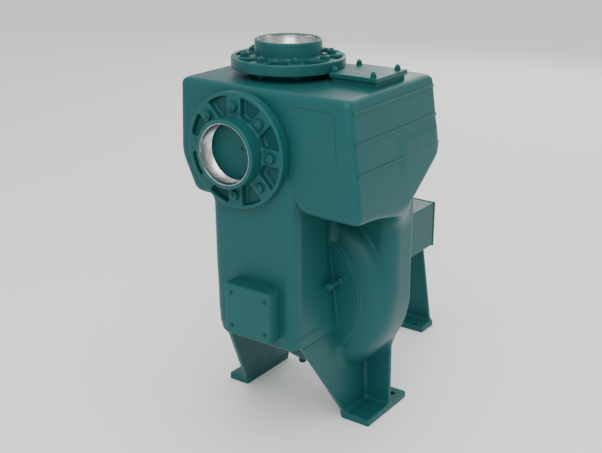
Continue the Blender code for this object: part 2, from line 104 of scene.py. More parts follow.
def fieldSurface(field, low, high, cell):
    # One vertex in each cell that the surface crosses, one face across each crossed edge
    axes, values = sampleField(field, low, high, cell)
    inside = values < 0
    corners = [(i, j, k) for i in (0, 1) for j in (0, 1) for k in (0, 1)]
    count = np.zeros([n - 1 for n in inside.shape], np.uint8)
    for i, j, k in corners:
        count += inside[i:i + count.shape[0], j:j + count.shape[1], k:k + count.shape[2]]
    active = (count > 0) & (count < 8)
    number = np.full(active.shape, -1, np.int32)
    cells = np.argwhere(active)
    number[active] = np.arange(len(cells))
    total = np.zeros((len(cells), 3))
    hits = np.zeros(len(cells))
    for a in corners:
        for b in corners:
            if sum(b) != sum(a) + 1 or any(q < p for p, q in zip(a, b)):
                continue
            va = values[tuple((cells + a).T)]
            vb = values[tuple((cells + b).T)]
            crossed = (va < 0) != (vb < 0)
            share = np.where(crossed, va / np.where(crossed, va - vb, 1.0), 0.0)
            step = np.array(b) - np.array(a)
            total[crossed] += (np.array(a) + share[:, None] * step)[crossed]
            hits += crossed
    start = np.array([axis[0] for axis in axes], dtype=np.float64)
    points = start + cell * (cells + total / hits[:, None])
    faces = []
    for axis in range(3):
        one = [slice(None)] * 3
        two = [slice(None)] * 3
        one[axis], two[axis] = slice(0, -1), slice(1, None)
        crossing = np.argwhere(inside[tuple(one)] != inside[tuple(two)])
        n1, n2 = (axis + 1) % 3, (axis + 2) % 3
        limits = np.array(number.shape)
        keep = (crossing[:, n1] > 0) & (crossing[:, n2] > 0)
        keep &= (crossing[:, n1] < limits[n1]) & (crossing[:, n2] < limits[n2])
        crossing = crossing[keep]
        ring = []
        for back1, back2 in ((1, 1), (0, 1), (0, 0), (1, 0)):
            place = crossing.copy()
            place[:, n1] -= back1
            place[:, n2] -= back2
            ring.append(number[tuple(place.T)])
        quads = np.stack(ring, axis=1)
        outward = inside[tuple(crossing.T)]
        quads[~outward] = quads[~outward][:, ::-1]
        faces.append(quads)
    return points, np.concatenate(faces)


def fieldSlope(field, points, step=0.2):
    slope = np.empty_like(points)
    for axis in range(3):
        shift = np.zeros(3)
        shift[axis] = step
        ahead = field(*(points + shift).T)
        behind = field(*(points - shift).T)
        slope[:, axis] = (ahead - behind) / (2 * step)
    return slope


def settle(field, points, limit, rounds):
    for _ in range(rounds):
        slope = fieldSlope(field, points)
        away = field(*points.T) / np.maximum((slope * slope).sum(1), 0.05)
        points = points - np.clip(away, -limit, limit)[:, None] * slope
    return points


def bulge(field, points, step=3.0):
    # Curvature of the surface: above zero on edges, below zero in fillets
    total = -6.0 * field(*points.T)
    for axis in range(3):
        shift = np.zeros(3)
        shift[axis] = step
        total = total + field(*(points + shift).T) + field(*(points - shift).T)
    return total / (step * step)


def newObject(name, mesh, finish):
    piece = bpy.data.objects.new(name, mesh)
    bpy.context.scene.collection.objects.link(piece)
    mesh.materials.clear()
    mesh.materials.append(finish)
    return piece


def bakeModifiers(piece):
    # The evaluated shape becomes the piece's own plain mesh
    bpy.context.view_layer.update()
    graph = bpy.context.evaluated_depsgraph_get()
    mesh = bpy.data.meshes.new_from_object(piece.evaluated_get(graph), depsgraph=graph)
    old = piece.data
    piece.modifiers.clear()
    piece.data = mesh
    bpy.data.meshes.remove(old)
    mesh.name = piece.name
    return piece


def thin(piece, wanted):
    faceCount = sum(len(face.vertices) - 2 for face in piece.data.polygons)
    if faceCount > wanted:
        fewer = piece.modifiers.new("thin", "DECIMATE")
        fewer.ratio = wanted / faceCount
        bakeModifiers(piece)


def castPiece(name, field, low, high, cell, wanted, finish):
    points, faces = fieldSurface(field, low, high, cell)
    points = settle(field, points, cell, 3)
    mesh = bpy.data.meshes.new(name)
    mesh.from_pydata(points.tolist(), [], faces.tolist())
    piece = newObject(name, mesh, finish)
    thin(piece, wanted)
    mesh = piece.data
    flat = np.empty(len(mesh.vertices) * 3)
    mesh.vertices.foreach_get("co", flat)
    points = settle(field, flat.reshape(-1, 3), 0.5, 2)
    slope = fieldSlope(field, points)
    normals = slope / np.linalg.norm(slope, axis=1)[:, None]
    # The curvature drives the enamel's painted edge highlight and painted crease shade
    ridge = mesh.attributes.new("ridge", "FLOAT", "POINT")
    ridge.data.foreach_set("value", np.clip(bulge(field, points), -1.0, 1.0))
    mesh.vertices.foreach_set("co", toScene(points).ravel())
    mesh.update()
    mesh.shade_smooth()
    mesh.normals_split_custom_set_from_vertices(normals.tolist())
    print(name, len(mesh.polygons), "faces")
    return piece


def turnedPiece(name, profile, middle, axis, finish, steps=96, closed=False, sharp=35):
    # The profile holds (radius, distance along the axis from the middle), in millimetres
    shape = bmesh.new()
    sideways = (axis + 1) % 3
    points = []
    for radius, distance in profile:
        spot = list(middle)
        spot[sideways] += radius
        spot[axis] += distance
        points.append(shape.verts.new(spot))
    edges = [shape.edges.new(pair) for pair in zip(points, points[1:])]
    if closed:
        edges.append(shape.edges.new((points[-1], points[0])))
    turn = Vector((axis == 0, axis == 1, axis == 2))
    bmesh.ops.spin(shape, geom=points + edges, cent=middle, axis=turn,
                   angle=math.tau, steps=steps, use_merge=True)
    bmesh.ops.remove_doubles(shape, verts=shape.verts, dist=1e-4)
    bmesh.ops.recalc_face_normals(shape, faces=shape.faces)
    return finishShape(name, shape, finish, sharp)


def finishShape(name, shape, finish, sharp=35):
    mesh = bpy.data.meshes.new(name)
    shape.to_mesh(mesh)
    shape.free()
    flat = np.empty(len(mesh.vertices) * 3)
    mesh.vertices.foreach_get("co", flat)
    mesh.vertices.foreach_set("co", toScene(flat.reshape(-1, 3)).ravel())
    mesh.update()
    mesh.shade_smooth()
    mesh.set_sharp_from_angle(angle=math.radians(sharp))
    return newObject(name, mesh, finish)


def platePiece(name, low, high, edge, finish, segments=4):
    shape = bmesh.new()
    bmesh.ops.create_cube(shape, size=1.0)
    for corner in shape.verts:
        for axis in range(3):
            corner.co[axis] = low[axis] + (corner.co[axis] + 0.5) * (high[axis] - low[axis])
    piece = finishShape(name, shape, finish, 180)
    rounded = piece.modifiers.new("rounded", "BEVEL")
    rounded.width = edge * mm
    rounded.segments = segments
    rounded.harden_normals = True
    return bakeModifiers(piece)


def curve2(middle, radius, start, end, steps):
    angles = [math.radians(start + (end - start) * n / steps) for n in range(steps + 1)]
    return [(middle[0] + radius * math.cos(a), middle[1] + radius * math.sin(a)) for a in angles]


# Materials: Object coordinates, in metres, so the grain keeps its size on every piece

class Recipe:
    def __init__(self, name):
        self.finish = bpy.data.materials.new(name)
        self.finish.use_nodes = True
        self.nodes = self.finish.node_tree.nodes
        self.links = self.finish.node_tree.links
        self.shader = self.nodes["Principled BSDF"]
        self.place = self.nodes.new("ShaderNodeTexCoord").outputs["Object"]

    def add(self, kind, values=None, **settings):
        node = self.nodes.new(kind)
        for key, value in settings.items():
            setattr(node, key, value)
        for key, value in (values or {}).items():
            node.inputs[key].default_value = value
        return node

    def join(self, source, node, socket):
        self.links.new(source, node.inputs[socket])

    def noise(self, scale, detail=3.0, roughness=0.5, stretch=None):
        node = self.add("ShaderNodeTexNoise", {"Scale": scale, "Detail": detail, "Roughness": roughness})
        source = self.place
        if stretch:
            mapping = self.add("ShaderNodeMapping", {"Scale": stretch})
            self.join(source, mapping, "Vector")
            source = mapping.outputs["Vector"]
        self.join(source, node, "Vector")
        return node.outputs["Fac"]

    def between(self, source, low, high, fromLow=0.3, fromHigh=0.7):
        node = self.add("ShaderNodeMapRange", {"From Min": fromLow, "From Max": fromHigh,
                                               "To Min": low, "To Max": high})
        self.join(source, node, "Value")
        return node.outputs["Result"]

    def blend(self, share, first, second):
        node = self.add("ShaderNodeMix", data_type="RGBA")
        self.join(share, node, "Factor")
        for socket, colour in (("A", first), ("B", second)):
            slot = [s for s in node.inputs if s.name == socket and s.type == "RGBA"][0]
            if isinstance(colour, tuple):
                slot.default_value = (*colour, 1.0)
            else:
                self.links.new(colour, slot)
        return [s for s in node.outputs if s.type == "RGBA"][0]

    def bumps(self, layers):
        normal = None
        for source, strength, distance in layers:
            node = self.add("ShaderNodeBump", {"Strength": strength, "Distance": distance})
            self.join(source, node, "Height")
            if normal is not None:
                self.join(normal, node, "Normal")
            normal = node.outputs["Normal"]
        self.join(normal, self.shader, "Normal")


enamelLook = {
    "body": (0.0072, 0.076, 0.077),
    "deeper": (0.0064, 0.069, 0.070),
    # edge: lighter tone on convex edges, a painted highlight
    "edge": (0.0095, 0.090, 0.090),
    # darker tone in fillets and creases: painted shade
    "creaseShade": (0.0058, 0.066, 0.067),
    "roughness": (0.34, 0.42),
    "ior": 1.29,
}


def enamelFinish(name, look, shade=1.0):
    r = Recipe(name)
    tone = {key: tuple(c * shade for c in look[key]) for key in ("body", "deeper", "edge", "creaseShade")}
    colour = r.blend(r.between(r.noise(7.0, 4.0), 0.0, 1.0), tone["body"], tone["deeper"])
    ridge = r.add("ShaderNodeAttribute", attribute_name="ridge").outputs["Fac"]
    # Painted highlight: the enamel turns lighter where the curvature shows a convex edge
    edgeHighlightMask = r.between(ridge, 0.0, 0.75, 0.05, 0.55)
    # Painted shade: the enamel turns darker in fillets and creases
    creaseShadeMask = r.between(ridge, 0.9, 0.0, -0.30, -0.02)
    colour = r.blend(edgeHighlightMask, colour, tone["edge"])
    colour = r.blend(creaseShadeMask, colour, tone["creaseShade"])
    r.join(colour, r.shader, "Base Color")
    r.join(r.between(r.noise(35.0, 4.0), *look["roughness"]), r.shader, "Roughness")
    r.shader.inputs["IOR"].default_value = look["ior"]
    r.bumps([
        (r.noise(45.0, 2.0), 0.06, 0.0010),     # slow waves of the sand casting
        (r.noise(300.0, 2.0), 0.05, 0.0002),    # grain under the paint
    ])
    return r.finish


def steelFinish(name, colour, roughness, lines):
    r = Recipe(name)
    shade = r.noise(90.0, 3.0, 0.6)
    darker = tuple(c * 0.72 for c in colour)
    r.join(r.blend(r.between(shade, 0.0, 1.0), colour, darker), r.shader, "Base Color")
    r.join(r.between(r.noise(60.0, 2.0), *roughness), r.shader, "Roughness")
    r.shader.inputs["Metallic"].default_value = 1.0
    r.bumps([(r.noise(1400.0, 2.0, 0.5, lines), 0.03, 0.0001)])
    return r.finish


enamel = enamelFinish("tealEnamel", enamelLook)
# A darker copy of the enamel; on the tank's panel line it is painted shade
darkEnamel = enamelFinish("tealEnamelShaded", enamelLook, 0.62)
threadSteel = steelFinish("cutThreadSteel", (0.60, 0.62, 0.62), (0.20, 0.28), (1.0, 1.0, 1.0))
shaftSteel = steelFinish("groundShaftSteel", (0.62, 0.62, 0.61), (0.22, 0.36), (1.0, 0.05, 1.0))
boltEnamel = enamelFinish("boltEnamel", enamelLook, 0.92)


# Geometry Nodes: fasteners round a circle or at a rectangle's corners

class Tree:
    def __init__(self, name, sizes):
        self.group = bpy.data.node_groups.new(name, "GeometryNodeTree")
        self.sockets = {}
        for label, (kind, value) in sizes.items():
            socket = self.group.interface.new_socket(label, in_out="INPUT", socket_type=kind)
            if value is not None:
                socket.default_value = value
            self.sockets[label] = socket.identifier
        self.group.interface.new_socket("Geometry", in_out="OUTPUT", socket_type="NodeSocketGeometry")
        self.start = self.group.nodes.new("NodeGroupInput")
        self.end = self.group.nodes.new("NodeGroupOutput")

    def add(self, kind, values=None, **settings):
        node = self.group.nodes.new(kind)
        for key, value in settings.items():
            setattr(node, key, value)
        for key, value in (values or {}).items():
            if isinstance(value, bpy.types.NodeSocket):
                self.group.links.new(value, node.inputs[key])
            else:
                node.inputs[key].default_value = value
        return node

    def size(self, label):
        return self.start.outputs[label]

    def maths(self, operation, a, b):
        return self.add("ShaderNodeMath", {0: a, 1: b}, operation=operation).outputs[0]

    def raised(self, geometry, height):
        offset = self.add("ShaderNodeCombineXYZ", {"Z": height}).outputs[0]
        moved = self.add("GeometryNodeTransform", {"Geometry": geometry, "Translation": offset})
        return moved.outputs[0]

    def joined(self, parts):
        join = self.add("GeometryNodeJoinGeometry")
        for part in parts:
            self.group.links.new(part, join.inputs[0])
        return join.outputs[0]

    def close(self, geometry):
        real = self.add("GeometryNodeRealizeInstances", {"Geometry": geometry}).outputs[0]
        painted = self.add("GeometryNodeSetMaterial", {"Geometry": real, "Material": self.size("Finish")})
        self.group.links.new(painted.outputs[0], self.end.inputs[0])


def hexHead(tree):
    # A hexagon with a turned top over a washer, and the stud's end in its middle, standing on z = 0
    metal = tree.size
    washer = tree.add("GeometryNodeMeshCylinder", {
        "Vertices": 28, "Radius": metal("Washer Radius"), "Depth": metal("Washer Height")})
    half = tree.maths("MULTIPLY", metal("Washer Height"), 0.5)
    hexagon = tree.add("GeometryNodeMeshCylinder", {
        "Vertices": 6, "Radius": metal("Corner Radius"), "Depth": metal("Head Height")})
    middle = tree.maths("MULTIPLY_ADD", metal("Head Height"), 0.5)
    tree.group.links.new(metal("Washer Height"), middle.node.inputs[2])
    crown = tree.add("GeometryNodeMeshCone", {
        "Vertices": 28, "Radius Bottom": tree.maths("MULTIPLY", metal("Corner Radius"), 0.86),
        "Radius Top": tree.maths("MULTIPLY", metal("Corner Radius"), 0.62),
        "Depth": metal("Crown Height")})
    top = tree.maths("ADD", metal("Head Height"), metal("Washer Height"))
    crest = tree.maths("ADD", top, metal("Crown Height"))
    stud = tree.add("GeometryNodeMeshCone", {
        "Vertices": 20, "Radius Bottom": metal("Stud Radius"),
        "Radius Top": tree.maths("MULTIPLY", metal("Stud Radius"), 0.72), "Depth": metal("Stud Height")})
    return tree.joined([
        tree.raised(washer.outputs["Mesh"], half),
        tree.raised(hexagon.outputs["Mesh"], middle),
        tree.raised(crown.outputs["Mesh"], top),
        tree.raised(stud.outputs["Mesh"], crest),
    ])


fastenerSizes = {
    "Count": ("NodeSocketInt", 8),
    "Circle Radius": ("NodeSocketFloat", 0.089),
    "Size X": ("NodeSocketFloat", 0.08),
    "Size Y": ("NodeSocketFloat", 0.08),
    "Corner Radius": ("NodeSocketFloat", 0.0137),
    "Head Height": ("NodeSocketFloat", 0.010),
    "Crown Height": ("NodeSocketFloat", 0.0012),
    "Washer Radius": ("NodeSocketFloat", 0.0155),
    "Washer Height": ("NodeSocketFloat", 0.002),
    "Stud Radius": ("NodeSocketFloat", 0.002),
    "Stud Height": ("NodeSocketFloat", 0.0005),
    "Finish": ("NodeSocketMaterial", None),
}


def ringTree():
    tree = Tree("fastenersOnRing", fastenerSizes)
    ring = tree.add("GeometryNodeMeshCircle", {"Vertices": tree.size("Count"),
                                               "Radius": tree.size("Circle Radius")})
    spread = tree.add("GeometryNodeInstanceOnPoints", {"Points": ring.outputs[0], "Instance": hexHead(tree)})
    tree.close(spread.outputs[0])
    return tree


def gridTree():
    tree = Tree("fastenersAtCorners", fastenerSizes)
    grid = tree.add("GeometryNodeMeshGrid", {"Size X": tree.size("Size X"), "Size Y": tree.size("Size Y"),
                                             "Vertices X": 2, "Vertices Y": 2})
    spread = tree.add("GeometryNodeInstanceOnPoints", {"Points": grid.outputs[0], "Instance": hexHead(tree)})
    tree.close(spread.outputs[0])
    return tree


def threadTree():
    # A diamond section swept along a helix, so its inner ridges are the thread's crests
    tree = Tree("pipeThread", {
        "Turns": ("NodeSocketFloat", 12.0),
        "Radius": ("NodeSocketFloat", 0.058),
        "Pitch": ("NodeSocketFloat", 0.003175),
        "Ridge": ("NodeSocketFloat", 0.0019),
        "Finish": ("NodeSocketMaterial", None),
    })
    height = tree.maths("MULTIPLY", tree.size("Turns"), tree.size("Pitch"))
    helix = tree.add("GeometryNodeCurveSpiral", {
        "Resolution": 96, "Rotations": tree.size("Turns"), "Start Radius": tree.size("Radius"),
        "End Radius": tree.size("Radius"), "Height": height})
    section = tree.add("GeometryNodeCurvePrimitiveCircle", {"Resolution": 4, "Radius": tree.size("Ridge")})
    swept = tree.add("GeometryNodeCurveToMesh", {
        "Curve": helix.outputs[0], "Profile Curve": section.outputs[0], "Fill Caps": True})
    tree.close(swept.outputs[0])
    return tree


def beadTree():
    # A round bead along a path, its ends closed by balls
    tree = Tree("beadAlongPath", {
        "Path": ("NodeSocketGeometry", None),
        "Bead Radius": ("NodeSocketFloat", 0.0027),
        "Finish": ("NodeSocketMaterial", None),
    })
    section = tree.add("GeometryNodeCurvePrimitiveCircle", {
        "Resolution": 16, "Radius": tree.size("Bead Radius")})
    swept = tree.add("GeometryNodeCurveToMesh", {
        "Curve": tree.size("Path"), "Profile Curve": section.outputs[0], "Fill Caps": True})
    ends = tree.add("GeometryNodeCurveEndpointSelection")
    asPoints = tree.add("GeometryNodeCurveToPoints", {"Curve": tree.size("Path")}, mode="EVALUATED")
    ball = tree.add("GeometryNodeMeshUVSphere", {
        "Segments": 16, "Rings": 8, "Radius": tree.size("Bead Radius")})
    balls = tree.add("GeometryNodeInstanceOnPoints", {
        "Points": asPoints.outputs[0], "Instance": ball.outputs[0], "Selection": ends.outputs[0]})
    tree.close(tree.joined([swept.outputs[0], balls.outputs[0]]))
    return tree


ringFasteners, cornerFasteners = ringTree(), gridTree()
threadShape, beadShape = threadTree(), beadTree()


def growPiece(name, tree, values, finish, base=None, turn=None, place=(0, 0, 0)):
    # Runs a tree on a fresh object and turns the result into a plain mesh at its place
    piece = bpy.data.objects.new(name, base or bpy.data.meshes.new(name))
    bpy.context.scene.collection.objects.link(piece)
    run = piece.modifiers.new("grow", "NODES")
    run.node_group = tree.group
    for label, value in dict(values, Finish=finish).items():
        run[tree.sockets[label]] = value
    bpy.context.view_layer.update()
    graph = bpy.context.evaluated_depsgraph_get()
    mesh = bpy.data.meshes.new_from_object(piece.evaluated_get(graph), depsgraph=graph)
    bpy.data.objects.remove(piece)
    mesh.transform(turn or Matrix.Identity(4))
    mesh.transform(Matrix.Translation((place[0] * mm + axisX, place[1] * mm + tankFront, place[2] * mm)))
    mesh.name = name
    mesh.shade_smooth()
    mesh.set_sharp_from_angle(angle=math.radians(32))
    return newObject(name, mesh, finish)


toSuction = Matrix.Rotation(math.radians(90), 4, "X")   # +Z turned to -Y
toRear = Matrix.Rotation(math.radians(-90), 4, "X")     # +Z turned to +Y


# The casting: tank, suction column, volute, nozzle and front legs run into each other
castingShape = {
    "tankFrontOutline": [(-154, 755.5), (-160, 600), (-124, 524)],
    "tankRightEdge": [(268, 524), (241, 755.5)],
    "tankBackEdge": [(204, 524), (322, 600), (314, 755.5)],
    "tankEdge": 15,
    "tankWidest": 266.4,
    "drawnIn": 33,
    "floorFall": 0.00097,
    "reliefCentre": (168, 577),
    "reliefRadius": 58,
    "reliefTop": 560,
    "reliefDepth": 34,
    "columnEdge": 24,
    "columnTaper": 19,
    "padRadius": 108,
    "wellRadius": 54,
    "caseCentre": (32, 296),
    "caseRadius": 197,
    "shoulder": 65,
    "swell": 0.045,
    "nozzle": (-60, 229),
    "nozzleEdge": 34,
    "nozzleFillet": 46,
    "legFillet": 13,
}


def tankField(x, y, z):
    s = castingShape
    leftTop, leftBelly, leftFloor = s["tankFrontOutline"]
    left = softMax(side(x, z, leftTop, leftBelly), side(x, z, leftBelly, leftFloor), 8)
    # Towards the back the lower right side draws in and down to the nozzle
    right = side(x, z, *s["tankRightEdge"]) + s["drawnIn"] * ramp(y, 110, 190) * ramp(530 - z, 0, 60)
    right = softMax(right, x - s["tankWidest"], 4)
    floor = leftFloor[1] - s["floorFall"] * np.clip(y, 0, 195) ** 2 * ramp(x, 70, 150) - z
    backFloor, backBelly, backTop = s["tankBackEdge"]
    lower = side(y, np.maximum(z, backFloor[1]), backFloor, backBelly)
    back = softMax(lower, side(y, z, backBelly, backTop), 12)
    tank = softMaxAll([left, right, back, -y, z - leftTop[1], floor], s["tankEdge"])
    # Beside the column the tank's lower front corner rounds away
    cx, cz = s["reliefCentre"]
    corner = s["reliefRadius"] - radial(x - cx, z - cz)
    below = np.maximum(x - cx, z - s["reliefTop"])
    relief = np.maximum(np.maximum(corner, below), np.maximum(y - s["reliefDepth"], 40 - x))
    return softMax(tank, -relief, 15)


def columnField(x, y, z):
    left = side(x, z, (-76, 640), (-72, 262))
    heel = side(x, z, (-72, 262), (-64, 236))
    inward = castingShape["columnTaper"] * ramp(z, 236, 420) * np.clip((y - 22) / 128, 0, 1.3)
    right = side(x + inward, z, (123, 236), (119, 545))
    neck = side(x + inward, z, (119, 545), (98.7, 590))
    sides = softMax(softMax(left, heel, 10), softMax(right, neck, 20), 6)
    walls = softMax(sides, -3.5 - y, castingShape["columnEdge"])
    return softMaxAll([walls, 236 - z, z - 634, y - 190], 7)


def volutePieces(x, y, z):
    s = castingShape
    cx, cz = s["caseCentre"]
    drawn = 1 + s["swell"] * np.clip((y - 190) / 40, 0, 1)
    down = np.where(z < cz, (z - cz) / drawn, z - cz)
    outer = radial(x - cx, down) - s["caseRadius"]
    case = softMax(softMax(outer, 157 - y, s["shoulder"]), y - 278, 12)
    low, high = s["nozzle"]
    nozzle = softMax(softMaxAll([low - x, x - high, 190 - y], s["nozzleEdge"]), y - 278, 14)
    nozzle = softMaxAll([nozzle, cz - z, z - 620], 8)
    return case, nozzle


def webField(x, y, z, topX, footX):
    middle = footX + (topX - footX) * (z - 16) / 220
    plate = np.abs(x - middle) - 5
    slope = side(y, z, (22, 236), (176, 16))
    tall = np.maximum(z - 250, y - 262)
    low = softMax(side(y, z, (338, 16), (331, 112)), side(y, z, (331, 112), (270, 124)), 6)
    return softMaxAll([plate, softMax(slope, np.minimum(tall, low), 3), 6 - z], 3)


def legField(x, y, z):
    s = castingShape
    rightWeb = webField(x, y, z, 117, 126)
    leftWeb = webField(x, y, z, -71, -144)
    webs = np.minimum(rightWeb, leftWeb)
    rib = np.abs(y - 265.5) - 4.5
    rightRib = softMaxAll([rib, side(x, z, (192.3, 16), (190, 232)), 122 - x, z - 232, 6 - z], 3)
    inner = side(x, z, (-144, 16), (-72, 236))
    leftRib = softMaxAll([rib, side(x, z, (-152, 232), (-192.3, 16)), inner, z - 232, 6 - z], 3)
    legs = softMin(webs, np.minimum(rightRib, leftRib), 9)
    across = np.abs(x) - 192.3
    rightFoot = softMaxAll([across, 120.7 - x, 176 - y, y - 338, z - 16], 4)
    leftFoot = softMaxAll([across, x + 139, 176 - y, y - 338, z - 16], 4)
    # The soft join would swell past the feet's sides and under the floor
    joined = softMin(legs, np.minimum(rightFoot, leftFoot), 9)
    joined = softMax(joined, np.maximum(across, -z), 2)
    holes = radial(np.abs(x) - 170.3, y - 310) - 7
    return softMax(joined, -holes, 2)


def castingField(x, y, z):
    s = castingShape
    case, nozzle = volutePieces(x, y, z)
    column = columnField(x, y, z)
    tank = tankField(x, y, z)
    top = softMin(tank, nozzle, s["nozzleFillet"])
    top = softMin(top, column, 12 + 14 * ramp(y, 60, 160))
    pad = softMaxAll([radial(x, z - 634) - s["padRadius"], -3.5 - y, y - 30], 3)
    top = softMin(top, pad, 6)
    low = softMin(case, column, 20)
    # Nozzle and casing run flush low down, where a wide blend would swell
    whole = softMin(top, low, 0.5 + 3.5 * ramp(z, 310, 400) + 10 * ramp(150 - y, 0, 20))
    whole = softMin(whole, legField(x, y, z), s["legFillet"])
    well = softMax(radial(x, y - 152) - s["wellRadius"], 660 - z, 6)
    return softMax(whole, -well, 3)


print("casting")
casting = castPiece("pumpCasting", castingField, (-198, -8, -4), (272, 344, 760), 2.0, 185000, enamel)
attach(casting, "root")
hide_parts("priming_tank", "suction_column", "volute_case", "web_left", "web_right",
            "gusset_left", "gusset_right", "foot_left", "foot_right")


# Bearing housing with its rear leg and foot
housingShape = {"x": (-29, 49), "z": (223, 338), "y": (262, 710.5), "middle": 10}


def housingField(x, y, z):
    s = housingShape
    box = softMaxAll([s["x"][0] - x, x - s["x"][1], s["z"][0] - z, z - s["z"][1],
                      s["y"][0] - y, y - s["y"][1]], 4)
    across = np.abs(x - s["middle"])
    slope = side(across, z, (45, 14), (14, 223))
    leg = softMaxAll([slope, 700 - y, y - 710, z - 240, 4 - z], 3)
    foot = softMaxAll([across - 51, 652 - y, y - 710, z - 14], 4)
    holes = np.maximum(radial(across - 22, y - 665) - 6, z - 20)
    carried = softMax(softMin(softMin(box, leg, 8), foot, 8), -z, 2)
    return softMax(carried, -holes, 2)


housing = castPiece("bearingHousing", housingField, (-46, 258, -4), (66, 716, 344), 2.0, 60000, enamel)
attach(housing, "root")
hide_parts("bearing_housing", "rear_leg", "rear_foot")


# Threaded flanges: u and v lie in the flange, t is the way out of it
flangeShape = {
    "rim": 114.3, "thickness": 22, "hub": 67.5, "height": 54.7,
    "pocketOuter": 106.5, "pocketInner": 68.5, "pocketDepth": 15, "spoke": 33,
    "bore": 60, "throat": 54, "shoulder": 9.2, "mouth": 0.8,
}


def flangeField(u, v, t):
    s = flangeShape
    r = radial(u, v)
    rim = softMax(softMax(r - s["rim"], t - s["thickness"], 3.5), -t, 2)
    hub = softMax(softMax(r - s["hub"], t - s["height"], 4), -t, 2)
    turn = np.arctan2(v, u)
    sector = math.tau / 8
    fromSpoke = np.abs(np.mod(turn + sector / 2, sector) - sector / 2)
    wall = s["spoke"] / 2 - r * np.sin(fromSpoke)
    floor = s["thickness"] - s["pocketDepth"]
    pocket = softMaxAll([wall, r - s["pocketOuter"], s["pocketInner"] - r, floor - t], 6)
    metal = softMax(softMin(rim, hub, 6), -pocket, 3)
    bore = np.maximum(r - s["bore"], s["shoulder"] - t)
    cone = (r - s["bore"] - (t - s["height"] + s["mouth"])) * 0.707
    mouth = np.maximum(cone, s["height"] - s["mouth"] - 2 - t)
    metal = softMax(metal, -bore, 1.5)
    metal = softMax(metal, -mouth, 1.0)
    return softMax(metal, s["throat"] - r, 1.5)


def suctionField(x, y, z):
    return flangeField(x, z - 634, -3.8 - y)


def dischargeField(x, y, z):
    return flangeField(x, y - 152, z - 769.5)


print("flanges")
suction = castPiece("suctionFlange", suctionField, (-118, -62, 516), (118, 0, 752), 1.4, 90000, enamel)
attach(suction, "root")
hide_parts("suction_flange")
discharge = castPiece("dischargeFlange", dischargeField, (-118, 34, 766), (118, 270, 828),
                      1.4, 90000, enamel)
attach(discharge, "root")
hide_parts("discharge_flange")

# Pipe threads: a helix of crests on a closed wall
threadSizes = {"Turns": 10.4, "Radius": 0.0592, "Pitch": 0.003175, "Ridge": 0.0019}
suctionThread = growPiece("suctionThread", threadShape, threadSizes, threadSteel,
                          turn=toSuction, place=(0, -21.5, 634))
dischargeThread = growPiece("dischargeThread", threadShape, dict(threadSizes, Turns=12.15), threadSteel,
                            place=(0, 152, 780.7))
threadWall = {"inner": 59.2, "outer": 59.9, "suction": (-57.2, -19.6), "discharge": (779, 823)}


def wallProfile(start, end):
    inner, outer = threadWall["inner"], threadWall["outer"]
    return [(inner, start), (outer, start), (outer, end), (inner, end)]


suctionWall = turnedPiece("suctionThreadWall", wallProfile(*threadWall["suction"]),
                          (0, 0, 634), 1, threadSteel, closed=True)
dischargeWall = turnedPiece("dischargeThreadWall", wallProfile(*threadWall["discharge"]),
                            (0, 152, 0), 2, threadSteel, closed=True)
for piece, wall, node in ((suctionThread, suctionWall, "suction_thread_ring"),
                          (dischargeThread, dischargeWall, "discharge_thread_ring")):
    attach(piece, "root")
    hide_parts(node)
    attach(wall, "root")

# Check-valve flap: a shallow dished disc with a raised bead near its edge
flapProfile = [(0, -18.2), (44, -18.6), (48, -19.3), (56.5, -19.3)]
flapProfile += curve2((57.2, -18.1), 1.2, 90 + 180, 360, 4) + [(58.4, -13.4), (0, -13.4)]
flap = turnedPiece("checkValveFlap", flapProfile, (0, 0, 634), 1, enamel)
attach(flap, "root")
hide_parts("check_valve_flap")
markProfile = [(0, -20.4), (3.0, -20.4), (4.4, -18.0), (0, -18.0)]
flapMark = turnedPiece("flapMark", markProfile, (13.1, 0, 639.2), 1, darkEnamel, steps=3)
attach(flapMark, "root")

# Neck between the tank's top and the discharge flange
neckProfile = [(54, 753)] + [(88, 753), (88, 755.6)]
neckProfile += [(74 + 12 * (1 - math.sin(a)), 755.6 + 9 * (1 - math.cos(a))) for a in
                [math.pi / 2 * n / 8 for n in range(9)]]
neckProfile += [(73.5, 769.6), (54, 769.6)]
neck = turnedPiece("dischargeNeck", neckProfile, (0, 152, 0), 2, enamel, closed=True)
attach(neck, "root")
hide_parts("discharge_neck")

# Volute front disc: a low step with a fillet at its foot
discProfile = [(0, 150.0), (142.5, 150.0)] + curve2((142.5, 152.5), 2.5, -90, 0, 5)
discProfile += curve2((148.0, 154.2), 3.0, 180, 95, 5) + [(149.5, 160), (0, 160)]
disc = turnedPiece("voluteFrontDisc", discProfile, (32, 0, 295), 1, enamel, steps=144)
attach(disc, "root")
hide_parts("volute_front_disc")

print("fasteners")
boltSizes = {"Count": 8, "Circle Radius": 0.087, "Corner Radius": 0.0100, "Head Height": 0.0058,
             "Crown Height": 0.0012, "Washer Radius": 0.0108, "Washer Height": 0.0010,
             "Stud Radius": 0.0048, "Stud Height": 0.0030}
suctionBolts = growPiece("suctionFlangeBolts", ringFasteners, boltSizes, boltEnamel,
                         turn=toSuction, place=(0, -25.8, 634))
dischargeNuts = growPiece("dischargeFlangeNuts", ringFasteners, boltSizes, boltEnamel, place=(0, 152, 791.5))
lowerNuts = growPiece("dischargeFlangeLowerNuts", ringFasteners,
                      dict(boltSizes, **{"Head Height": 0.0068}), boltEnamel,
                      turn=Matrix.Rotation(math.pi, 4, "X"), place=(0, 152, 769.5))
for piece, slotName in ((suctionBolts, "suction_flange"), (dischargeNuts, "discharge_flange"),
                        (lowerNuts, "discharge_flange")):
    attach(piece, "root")

